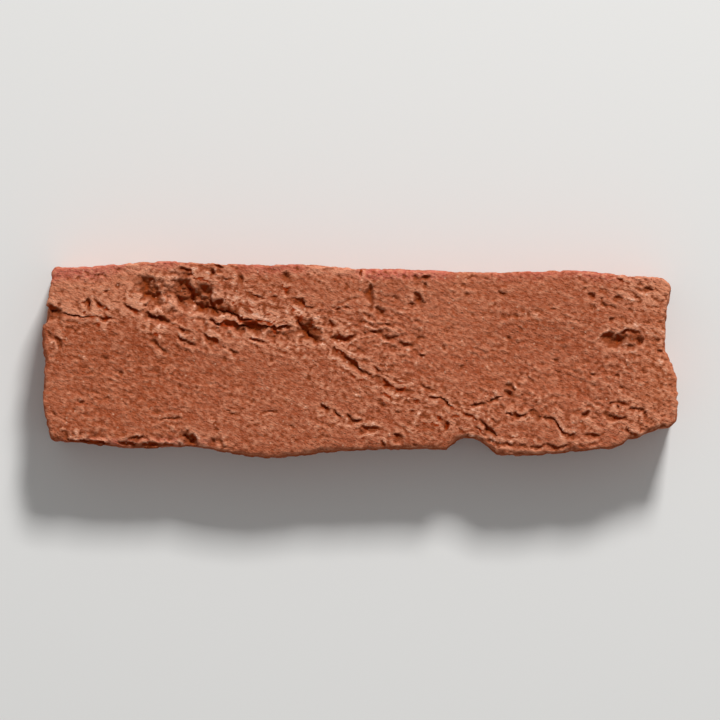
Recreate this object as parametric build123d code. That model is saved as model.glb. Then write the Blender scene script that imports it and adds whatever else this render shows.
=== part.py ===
"""Hand-moulded brick slip: one thin piece of fired clay, sawn off the face of a red brick.

It lies on its sawn back. +X runs along its length, +Y towards its upper bed and +Z out of its face.
The origin is the middle of the nominal outline, on the back. All sizes are in millimetres.
"""

from build123d import *
from dataclasses import dataclass
import os

# Overall sizes of the format
LENGTH = 210.0
HEIGHT = 65.0
THICKNESS = 22.0

# Outline: how far the clay stands in from the nominal rectangle, at even stations from corner to corner
TOP_EDGE_INSETS = (1.5, 0.2, 0.0, 0.8, 1.0, 1.1, 2.3, 2.4, 3.2, 3.6, 3.1, 3.1, 4.6)
RIGHT_EDGE_INSETS = (2.9, 4.0, 4.0, 0.9, 0.0)
BOTTOM_EDGE_INSETS = (1.9, 0.7, 1.3, 2.7, 2.7, 2.5, 1.1, 0.0, 2.0, 3.7, 3.1, 4.3)
LEFT_EDGE_INSETS = (1.2, 0.5, 0.9, 0.0, 0.8, 2.6)

# Corners: inset from the two nominal edges that meet there, and the radius the mould left
TOP_LEFT_CORNER = (2.7, 1.4)
TOP_LEFT_RADIUS = 2.2
TOP_RIGHT_CORNER = (1.9, 4.5)
TOP_RIGHT_RADIUS = 4.5
BOTTOM_LEFT_CORNER = (3.4, 5.4)
BOTTOM_LEFT_RADIUS = 2.6

# The lower right corner is broken off in steps, each point as inset from the right end and the lower bed
BROKEN_CORNER = (
    (0.7, 12.1),
    (3.0, 10.0),
    (6.6, 9.6),
    (13.0, 6.7),
    (16.5, 6.2),
    (18.7, 4.3),
    (22.2, 3.0),
)
BROKEN_CORNER_RADIUS = 2.0

# Arris: the worn edge between the face and the four sides, rounded less than any corner of the outline
ARRIS_RADIUS = 1.5

# Bite out of the lower bed, from the right end: its middle, half widths to the left and right, and depth
NOTCH_FROM_RIGHT = 69.6
NOTCH_LEFT_REACH = 8.6
NOTCH_RIGHT_REACH = 10.4
NOTCH_DEPTH = 6.5
NOTCH_LEFT_SLOPE = (0.6, 1)
NOTCH_RIGHT_SLOPE = (0.9, -1)

# Nick in the left end, a scoop across the arris
NICK_ABOVE_MIDDLE = 14.6
NICK_RADIUS = 3.4
NICK_DEPTH = 2.8
NICK_LENGTH = 12.0


def from_left(along, above):
    """Point of the face, along from the nominal left end and above the middle of the slip."""
    return Vector(along - LENGTH / 2, above)


def from_right(along, above):
    """Point of the face, along from the nominal right end and above the middle of the slip."""
    return Vector(LENGTH / 2 - along, above)


@dataclass
class Hollow:
    """A dished hollow in the face, oval where it meets the face and turned from +X by so many degrees."""

    middle: Vector
    half_length: float
    half_width: float
    turn: float
    depth: float


@dataclass
class Fissure:
    """A groove that opened in the face, through each of its points and leaning under its upper lip."""

    points: tuple
    width: float
    depth: float
    lean: float


DIPS_AS_THROWN = (
    Hollow(from_left(40.0, -8.0), half_length=34.0, half_width=17.0, turn=4, depth=0.5),
    Hollow(from_left(116.0, 9.0), half_length=26.0, half_width=16.0, turn=-8, depth=0.4),
    Hollow(from_right(44.0, -5.0), half_length=32.0, half_width=18.0, turn=-6, depth=0.6),
)
GOUGE = (
    Hollow(from_left(45.4, 18.4), half_length=16.5, half_width=7.4, turn=-12, depth=1.3),
    Hollow(from_left(35.8, 22.0), half_length=5.8, half_width=3.4, turn=-44, depth=2.1),
    Hollow(from_left(47.4, 22.0), half_length=6.2, half_width=3.8, turn=-76, depth=2.7),
    Hollow(from_left(54.4, 17.6), half_length=6.6, half_width=3.4, turn=-40, depth=2.5),
    Hollow(from_left(54.2, 22.0), half_length=3.8, half_width=2.4, turn=-70, depth=1.6),
)
TROUGH_UNDER_FLAP = (
    Hollow(from_left(71.4, 9.5), half_length=17.5, half_width=3.6, turn=-5, depth=1.4),
    Hollow(from_left(68.4, 10.8), half_length=9.0, half_width=2.4, turn=-2, depth=2.6),
    Hollow(from_left(87.6, 9.4), half_length=6.0, half_width=2.5, turn=-51, depth=2.6),
)
RIGHT_PIT = (
    Hollow(from_right(22.6, 6.2), half_length=5.0, half_width=2.6, turn=-8, depth=2.3),
    Hollow(from_right(15.6, 7.6), half_length=3.4, half_width=2.8, turn=30, depth=1.4),
)
PITS_AT_LOWER_BED = (
    Hollow(from_left(37.0, -25.9), half_length=9.0, half_width=2.4, turn=0, depth=1.1),
    Hollow(from_left(48.6, -26.4), half_length=4.8, half_width=2.8, turn=-45, depth=1.9),
    Hollow(from_left(58.0, -28.4), half_length=5.0, half_width=2.4, turn=30, depth=1.0),
)
CRUMBLED_LOWER_LEFT = (
    Hollow(from_left(6.0, -23.0), half_length=7.0, half_width=4.0, turn=-50, depth=1.0),
    Hollow(from_left(17.0, -25.4), half_length=13.0, half_width=4.6, turn=-3, depth=1.1),
)
SMALL_PITS = (
    Hollow(from_left(98.0, 7.7), half_length=4.0, half_width=1.6, turn=6, depth=1.2),
    Hollow(from_left(109.2, 20.6), half_length=4.4, half_width=1.6, turn=-70, depth=0.9),
    Hollow(from_left(124.2, 19.6), half_length=3.0, half_width=1.4, turn=-70, depth=1.1),
    Hollow(from_right(56.1, -12.0), half_length=3.4, half_width=1.4, turn=-70, depth=1.1),
    Hollow(from_right(47.0, -18.0), half_length=3.0, half_width=1.4, turn=-32, depth=1.3),
)

# Where the arris is worn away in long dips, each with its middle at or just outside the edge
WORN_LOWER_ARRIS = (
    Hollow(from_left(7.5, -28.6), half_length=9.0, half_width=3.6, turn=-24, depth=2.0),
    Hollow(from_left(29.0, -31.2), half_length=24.0, half_width=4.2, turn=0, depth=3.0),
    Hollow(from_left(67.0, -34.2), half_length=20.0, half_width=4.4, turn=3, depth=2.8),
    Hollow(from_left(95.0, -32.6), half_length=18.0, half_width=4.2, turn=5, depth=3.0),
    Hollow(from_left(121.0, -31.4), half_length=18.0, half_width=4.0, turn=3, depth=3.0),
    Hollow(from_right(71.0, -27.0), half_length=8.5, half_width=3.2, turn=2, depth=2.2),
    Hollow(from_right(46.0, -33.6), half_length=17.0, half_width=5.2, turn=2, depth=2.2),
    Hollow(from_right(36.6, -30.4), half_length=9.0, half_width=3.4, turn=10, depth=2.0),
    Hollow(from_right(27.0, -32.2), half_length=13.0, half_width=4.0, turn=6, depth=3.0),
    Hollow(from_right(11.0, -26.6), half_length=11.0, half_width=3.6, turn=18, depth=2.6),
    Hollow(from_right(4.4, -21.6), half_length=5.0, half_width=2.4, turn=24, depth=1.2),
)
WORN_UPPER_ARRIS = (
    Hollow(from_left(120.0, 31.0), half_length=17.0, half_width=4.0, turn=-2, depth=2.0),
    Hollow(from_left(124.6, 26.9), half_length=5.0, half_width=2.2, turn=-10, depth=1.7),
)
WORN_LEFT_END = (
    Hollow(from_left(0.4, 4.0), half_length=8.0, half_width=2.2, turn=90, depth=1.5),
)
HOLLOWS = (
    DIPS_AS_THROWN
    + GOUGE
    + TROUGH_UNDER_FLAP
    + RIGHT_PIT
    + PITS_AT_LOWER_BED
    + CRUMBLED_LOWER_LEFT
    + SMALL_PITS
    + WORN_LOWER_ARRIS
    + WORN_UPPER_ARRIS
    + WORN_LEFT_END
)

FLAP_EDGE = Fissure(
    points=(from_left(56.0, 13.2), from_left(68.0, 11.8), from_left(82.6, 11.4)),
    width=1.2,
    depth=2.6,
    lean=35,
)
FOLD_ABOVE_FLAP = Fissure(
    points=(from_left(56.8, 17.0), from_left(66.0, 14.6), from_left(76.7, 12.9)),
    width=1.2,
    depth=1.6,
    lean=25,
)
LEDGE = Fissure(
    points=(from_left(27.0, 18.5), from_left(34.6, 15.6), from_left(42.8, 12.7)),
    width=1.4,
    depth=2.0,
    lean=25,
)
LONG_FISSURE = Fissure(
    points=(from_left(97.0, 3.8), from_left(104.5, -2.9), from_left(112.3, -7.9), from_left(118.6, -10.3)),
    width=1.2,
    depth=2.2,
    lean=15,
)
FISSURE_TAIL = Fissure(
    points=(
        from_left(121.0, -8.2),
        from_left(130.8, -12.9),
        from_left(138.0, -17.9),
        from_left(149.2, -25.6),
    ),
    width=1.0,
    depth=1.6,
    lean=15,
)
LEFT_CREASE = Fissure(
    points=(from_left(4.0, 16.2), from_left(14.8, 14.5), from_left(24.0, 13.7)),
    width=0.9,
    depth=1.2,
    lean=20,
)

# Short tears that opened beside the long ones as the clay was thrown into the mould, all much alike
TEAR_WIDTH = 1.2
TEAR_DEPTH = 1.5
TEAR_LEAN = 20
TEAR_POINTS = (
    (from_left(80.4, 20.6), from_left(89.2, 17.4)),
    (from_left(66.1, 22.9), from_left(73.6, 20.6)),
    (from_left(36.4, 9.0), from_left(42.4, 1.8)),
    (from_left(44.6, 8.4), from_left(51.4, 4.6)),
    (from_left(53.6, 7.6), from_left(58.6, 3.6)),
    (from_left(59.7, 4.6), from_left(65.6, 1.4)),
    (from_left(2.6, 9.2), from_left(7.7, 2.4)),
    (from_left(92.0, -14.4), from_left(99.2, -19.4)),
    (from_left(101.4, -19.4), from_left(106.8, -21.4)),
    (from_right(72.0, -14.4), from_right(64.9, -13.4), from_right(57.1, -10.7)),
    (from_right(57.8, -17.2), from_right(45.7, -18.6), from_right(36.2, -25.0)),
)
SHORT_TEARS = tuple(Fissure(points, TEAR_WIDTH, TEAR_DEPTH, TEAR_LEAN) for points in TEAR_POINTS)
FISSURES = (FLAP_EDGE, FOLD_ABOVE_FLAP, LEDGE, LONG_FISSURE, FISSURE_TAIL, LEFT_CREASE) + SHORT_TEARS

# Each furrow of a fissure runs past both of its points by this share, so that the bends stay open
FURROW_OVERRUN = 0.15


def between(start, end, inward, insets):
    """Points at even stations from one corner to the next, each moved inward by its inset."""
    gaps = len(insets) + 1
    points = []
    for station, inset in enumerate(insets, start=1):
        points.append(start + (end - start) * (station / gaps) + inward * inset)
    return points


def outline_face():
    """The slip seen from the front: four wandering edges, three round corners and a broken one."""
    left = -LENGTH / 2
    right = LENGTH / 2
    bottom = -HEIGHT / 2
    top = HEIGHT / 2
    top_left = Vector(left + TOP_LEFT_CORNER[0], top - TOP_LEFT_CORNER[1])
    top_right = Vector(right - TOP_RIGHT_CORNER[0], top - TOP_RIGHT_CORNER[1])
    bottom_left = Vector(left + BOTTOM_LEFT_CORNER[0], bottom + BOTTOM_LEFT_CORNER[1])
    broken = [Vector(right - inset_x, bottom + inset_y) for inset_x, inset_y in BROKEN_CORNER]
    broken_start = broken[0]
    broken_end = broken[-1]

    on_top = between(Vector(top_left.X, top), Vector(top_right.X, top), Vector(0, -1), TOP_EDGE_INSETS)
    on_right = between(
        Vector(right, top_right.Y), Vector(right, broken_start.Y), Vector(-1, 0), RIGHT_EDGE_INSETS
    )
    on_bottom = between(
        Vector(broken_end.X, bottom), Vector(bottom_left.X, bottom), Vector(0, 1), BOTTOM_EDGE_INSETS
    )
    on_left = between(Vector(left, bottom_left.Y), Vector(left, top_left.Y), Vector(1, 0), LEFT_EDGE_INSETS)
    outline = make_face(
        [
            Spline(top_left, *on_top, top_right),
            Spline(top_right, *on_right, broken_start),
            Polyline(*broken),
            Spline(broken_end, *on_bottom, bottom_left),
            Spline(bottom_left, *on_left, top_left),
        ]
    )

    corners = [
        (top_left, TOP_LEFT_RADIUS),
        (top_right, TOP_RIGHT_RADIUS),
        (bottom_left, BOTTOM_LEFT_RADIUS),
    ]
    corners += [(corner, BROKEN_CORNER_RADIUS) for corner in broken]
    for corner, radius in corners:
        vertex = outline.vertices().sort_by_distance(corner)[0]
        outline = fillet(vertex, radius)
    return outline


def on_face(point):
    """The place on the face above a point of the back."""
    return Vector(point.X, point.Y, THICKNESS)


def hollow_cutter(hollow):
    """A ball squeezed to the hollow's width, with only a cap as deep as the hollow below the face."""
    radius = (hollow.half_length**2 + hollow.depth**2) / (2 * hollow.depth)
    poles_level = Rot(90, 0, 0) * Sphere(radius)
    ball = scale(poles_level, by=(1, hollow.half_width / hollow.half_length, 1))
    return Pos(on_face(hollow.middle)) * Rot(0, 0, hollow.turn) * Pos(0, 0, radius - hollow.depth) * ball


def notch_cutter():
    """The bite out of the lower bed, steeper on its left, cut through the whole thickness."""
    middle = LENGTH / 2 - NOTCH_FROM_RIGHT
    bed = -HEIGHT / 2
    mouth_left = Vector(middle - NOTCH_LEFT_REACH, bed)
    mouth_right = Vector(middle + NOTCH_RIGHT_REACH, bed)
    crest = Vector(middle, bed + NOTCH_DEPTH)
    roof = Spline(mouth_left, crest, mouth_right, tangents=(NOTCH_LEFT_SLOPE, NOTCH_RIGHT_SLOPE))
    below = Vector(0, -NOTCH_DEPTH)
    outside = Polyline(mouth_right, mouth_right + below, mouth_left + below, mouth_left)
    return extrude(make_face([roof, outside]), THICKNESS)


def nick_cutter():
    """The nick, a round scoop that runs down the left end from the face."""
    middle = Vector(-LENGTH / 2 - NICK_RADIUS + NICK_DEPTH, NICK_ABOVE_MIDDLE, THICKNESS - NICK_LENGTH / 2)
    return Pos(middle) * Cylinder(NICK_RADIUS, NICK_LENGTH)


def furrow(start, end, fissure):
    """A V groove that shallows out at both ends, as a wheel with a sharp rim cuts it when it leans."""
    half_run = (end - start).length * (0.5 + FURROW_OVERRUN)
    depth = fissure.depth
    wheel_radius = (half_run * half_run + depth * depth) / (2 * depth)
    flank_depth = 2 * depth
    rim = (0, wheel_radius)
    flank_right = (fissure.width, wheel_radius - flank_depth)
    flank_left = (-fissure.width, wheel_radius - flank_depth)
    wheel = revolve(make_face(Polyline(rim, flank_right, flank_left, rim)), Axis.X)
    across = Vector(start.Y - end.Y, end.X - start.X)
    groove = Plane(origin=on_face((start + end) / 2), x_dir=across, z_dir=Vector(0, 0, 1))
    return groove * Rot(0, fissure.lean, 0) * Pos(0, 0, wheel_radius - depth) * wheel


def make_slip():
    """The whole slip as one solid."""
    slip = extrude(outline_face(), THICKNESS)
    arris = slip.faces().sort_by(Axis.Z)[-1].edges()
    slip = fillet(arris, ARRIS_RADIUS)
    slip -= notch_cutter()
    slip -= nick_cutter()
    for hollow in HOLLOWS:
        slip -= hollow_cutter(hollow)
    for fissure in FISSURES:
        for start, end in zip(fissure.points, fissure.points[1:]):
            slip -= furrow(start, end, fissure)
    return slip


os.makedirs("parts", exist_ok=True)
export_step(make_slip(), "parts/brick_slip.step")
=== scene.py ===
"""Hand-moulded brick slip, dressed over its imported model: the torn clay face, its finish and the studio.

The relief is worked out in millimetres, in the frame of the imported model, and turned into metres when the
mesh is made. +X runs along the slip, +Y towards its upper bed and +Z out of its moulded face.
"""

import logging
import math
from collections.abc import Sequence
from dataclasses import dataclass
from enum import Enum

import bmesh
import bpy
import numpy as np
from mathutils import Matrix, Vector


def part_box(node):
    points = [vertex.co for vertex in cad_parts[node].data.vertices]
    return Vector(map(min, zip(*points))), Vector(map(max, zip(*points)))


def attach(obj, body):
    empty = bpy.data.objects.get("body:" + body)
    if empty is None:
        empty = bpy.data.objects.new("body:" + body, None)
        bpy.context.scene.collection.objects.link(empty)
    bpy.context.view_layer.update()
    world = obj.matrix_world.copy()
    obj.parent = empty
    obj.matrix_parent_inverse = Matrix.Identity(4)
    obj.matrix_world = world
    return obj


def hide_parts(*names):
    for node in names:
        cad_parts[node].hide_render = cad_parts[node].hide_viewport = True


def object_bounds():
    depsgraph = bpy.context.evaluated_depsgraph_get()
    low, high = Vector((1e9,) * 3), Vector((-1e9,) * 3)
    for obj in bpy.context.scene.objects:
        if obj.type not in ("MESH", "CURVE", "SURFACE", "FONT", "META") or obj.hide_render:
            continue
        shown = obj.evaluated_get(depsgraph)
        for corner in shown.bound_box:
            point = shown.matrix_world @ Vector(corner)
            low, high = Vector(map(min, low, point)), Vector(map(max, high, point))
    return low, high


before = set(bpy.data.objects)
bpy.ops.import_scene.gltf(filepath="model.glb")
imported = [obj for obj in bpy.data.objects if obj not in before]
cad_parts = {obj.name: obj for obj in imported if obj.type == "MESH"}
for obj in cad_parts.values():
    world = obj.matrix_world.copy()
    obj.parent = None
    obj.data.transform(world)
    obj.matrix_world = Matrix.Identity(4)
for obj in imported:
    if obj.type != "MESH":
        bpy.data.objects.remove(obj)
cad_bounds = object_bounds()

LOG = logging.getLogger("brick_slip")
MM = 0.001
NODE = "brick_slip"

Points = np.ndarray
Values = np.ndarray
Colour = tuple[float, float, float, float]


def eased(value: Values, low: float = 0.0, high: float = 1.0) -> Values:
    """Brings a value from low to high onto 0 to 1, with soft ends."""
    held = np.clip((value - low) / (high - low), 0.0, 1.0)
    return held * held * (3.0 - 2.0 * held)


def swell(value: Values, middle: float, reach: float) -> Values:
    """A bell that is 1 at the middle and fades over the reach."""
    return np.exp(-(((value - middle) / reach) ** 2))


def on_level(spots: Points) -> Points:
    """The places, x and y, with a third coordinate of 0."""
    return np.column_stack((spots, np.zeros(len(spots))))


def near_box(spots: Points, corners: Points, margin: float) -> Values:
    """Which places lie within a margin of the box round the corners."""
    low, high = corners.min(axis=0) - margin, corners.max(axis=0) + margin
    return np.all((spots > low) & (spots < high), axis=1)


def turned(spots: Points, degrees: float) -> Points:
    """The places, flat or in space, as seen from axes turned anticlockwise about +Z."""
    cosine, sine = math.cos(math.radians(degrees)), math.sin(math.radians(degrees))
    return np.column_stack((spots[:, :2] @ ((cosine, -sine), (sine, cosine)), spots[:, 2:]))


def to_run(spots: Points, start: Points, end: Points) -> tuple[Values, Values]:
    """How each place lies to a straight run.

    Args:
        spots: Places on the face.
        start: The run's start.
        end: The run's end.

    Returns:
        Distance from the run, and the way along it to the nearest point.
    """
    length = np.linalg.norm(end - start)
    heading = (end - start) / length
    offset = spots - start
    along = np.clip(offset @ heading, 0.0, length)
    return np.linalg.norm(offset - along[:, None] * heading, axis=1), along


def box_blur(values: Values, *radii: int) -> Values:
    """The mean of each place's square neighbourhood, taken once for each radius.

    Args:
        values: A grid of numbers.
        radii: Half the side of the neighbourhood, in places.

    Returns:
        A grid of the same shape.
    """
    for radius in radii:
        side = 2 * radius + 1
        padded = np.pad(values, radius, mode="edge")
        values = np.lib.stride_tricks.sliding_window_view(padded, (side, side)).mean(axis=(2, 3))
    return values


def quads(ids: Values) -> list[list[int]]:
    """The faces between the vertex numbers of a grid."""
    corners = (ids[:-1, :-1], ids[1:, :-1], ids[1:, 1:], ids[:-1, 1:])
    return np.stack(corners, axis=-1).reshape(-1, 4).tolist()


def put_in_scene(name: str, data: bpy.types.ID) -> bpy.types.Object:
    """Makes an object of the data in the scene.

    Args:
        name: The object's name.
        data: Its mesh, light or camera.

    Returns:
        The object.
    """
    made = bpy.data.objects.new(name, data)
    bpy.context.scene.collection.objects.link(made)
    return made


class ClayNoise:
    """Smooth seeded noise in space, about -1 to 1, with one lump to each unit."""

    TABLE = 256
    GAIN = 1.6
    LAYER_STEP = 7.31

    def __init__(self, seed: int) -> None:
        """Draws the lattice's slopes.

        Args:
            seed: Seed of the draws.
        """
        generator = np.random.default_rng(seed)
        self.order = generator.permutation(self.TABLE)
        slopes = generator.normal(size=(self.TABLE, 3))
        self.slopes = slopes / np.linalg.norm(slopes, axis=1, keepdims=True)

    def at(self, spots: Points) -> Values:
        """The noise at each place.

        Args:
            spots: Places in space.

        Returns:
            One value to a place.
        """
        cell = np.floor(spots).astype(int)
        inside = spots - cell
        blend = inside**3 * (inside * (inside * 6.0 - 15.0) + 10.0)
        total = np.zeros(len(spots))
        last = self.TABLE - 1
        for corner in np.ndindex(2, 2, 2):
            step = np.array(corner)
            slot = 0
            for lattice in ((cell + step) & last).T:
                slot = self.order[(slot + lattice) & last]
            pull = np.einsum("ij,ij->i", self.slopes[slot], inside - step)
            total += pull * np.prod(np.where(step == 1, blend, 1.0 - blend), axis=1)
        return total * self.GAIN

    def lumps(self, spots: Points, size: float, layer: float) -> Values:
        """Noise with lumps of a size in millimetres, and a pattern of its own for each layer."""
        return self.at(spots / size + layer * self.LAYER_STEP)

    def streaks(self, spots: Points, along: float, across: float, turn: float, layer: float) -> Values:
        """Noise with lumps so long and so broad, that lie at a turn from +X."""
        return self.lumps(turned(spots, turn) / np.array((along, across, across)), 1.0, layer)


class Wall(Enum):
    """Which side of a crease stands up steeply, looking along it."""

    LEFT = 1.0
    RIGHT = -1.0


@dataclass(frozen=True)
class Crease:
    """A crease torn in the clay, through points whose x and y follow in turn, in millimetres."""

    points: Sequence[float]
    width: float
    depth: float
    lip: float = 0.4
    reach: float = 1.6
    overhang: float = 0.0
    wall: Wall = Wall.LEFT

    WALL_SHARE = 0.35
    LEAST_WALL = 0.3
    RIM_SHARE = 0.45
    RIM_PLACE = -1.25
    RIM_WIDTH = 0.45
    END_RUN = 3.5

    @property
    def corners(self) -> Points:
        """The points, one to a row."""
        return np.reshape(self.points, (-1, 2))

    def measure(self, spots: Points) -> tuple[Values, Values, Points]:
        """How each place lies to the crease.

        Args:
            spots: Places on the face, x and y.

        Returns:
            Distance, above 0 on the steep side, fading at the two ends, and the way to the steep side.
        """
        nearest = np.full(len(spots), np.inf)
        signed, travelled = np.zeros((2, len(spots)))
        steep_ways = np.zeros((len(spots), 2))
        passed = 0.0
        for start, end in zip(self.corners, self.corners[1:]):
            length = np.linalg.norm(end - start)
            steep_way = (end - start) @ ((0.0, 1.0), (-1.0, 0.0)) / length * self.wall.value
            distance, along = to_run(spots, start, end)
            nearer = distance < nearest
            nearest[nearer] = distance[nearer]
            signed[nearer] = (distance * np.sign((spots - start) @ steep_way))[nearer]
            travelled[nearer] = passed + along[nearer]
            steep_ways[nearer] = steep_way
            passed += length
        to_end = np.minimum(travelled, passed - travelled)
        return signed, np.sqrt(eased(to_end, 0.0, min(self.END_RUN, passed / 2.0))), steep_ways

    def carve(self, spots: Points, vigour: Values, spread: Values) -> tuple[Values, Points]:
        """The crease's part of the relief.

        Args:
            spots: Places on the face, x and y, already made ragged.
            vigour: How strongly the clay is torn at each place, about 1.
            spread: How wide the crease gapes at each place, about 1.

        Returns:
            Height to add, and how far each place leans in x and y.
        """
        signed, fading, steep_ways = self.measure(spots)
        strength = fading * vigour
        width = self.width * spread * (0.55 + 0.45 * fading)
        wall_width = np.maximum(width * self.WALL_SHARE, self.LEAST_WALL)
        up_wall = eased(signed / wall_width)
        up_ramp = np.clip(1.0 + signed / width, 0.0, 1.0) ** 1.6
        groove = np.where(signed > 0.0, 1.0 - up_wall, up_ramp)
        lip = up_wall * np.exp(-((np.clip(signed - wall_width, 0.0, None) / self.reach) ** 1.5))
        rim = self.RIM_SHARE * swell(signed / width, self.RIM_PLACE, self.RIM_WIDTH)
        height = self.lip * lip + self.depth * (rim - groove)
        return height * strength, -steep_ways * (self.overhang * lip * strength)[:, None]


@dataclass(frozen=True)
class Oval:
    """An oval on the face, in millimetres from the middle, turned in degrees from +X."""

    x: float
    y: float
    half_length: float
    half_width: float
    turn: float

    def shares(self, spots: Points) -> Points:
        """How far out each place lies along and across the oval, 1 at its edge."""
        own = turned(spots - np.array((self.x, self.y)), self.turn)
        return own / np.array((self.half_length, self.half_width))


@dataclass(frozen=True)
class Hollow(Oval):
    """A torn hollow, deeper towards its upper wall, or a raised grain if its depth is below 0."""

    depth: float
    lumps: float = 0.35
    softness: float = 0.7

    def carve(self, spots: Points, crags: Values) -> Values:
        """The hollow's part of the relief.

        Args:
            spots: Places on the face, x and y, already made ragged.
            crags: Torn lumps of clay at each place, about -1 to 1.

        Returns:
            Height to add.
        """
        shares = self.shares(spots)
        inside = np.clip(1.0 - (shares**2).sum(axis=1) - 0.4 * self.lumps * crags, 0.0, 1.0)
        bowl = inside**self.softness * (1.0 + 0.45 * shares[:, 1])
        return -self.depth * bowl * (1.0 - self.lumps * crags)


@dataclass(frozen=True)
class ShadePatch(Oval):
    """A patch painted brown over a recess, as painted shade."""

    strength: float

    def spread(self, spots: Points) -> Values:
        """How much painted shade each place takes, from 0 to the patch's strength."""
        return self.strength * eased((self.shares(spots) ** 2).sum(axis=1), 1.0, 0.25)


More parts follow.
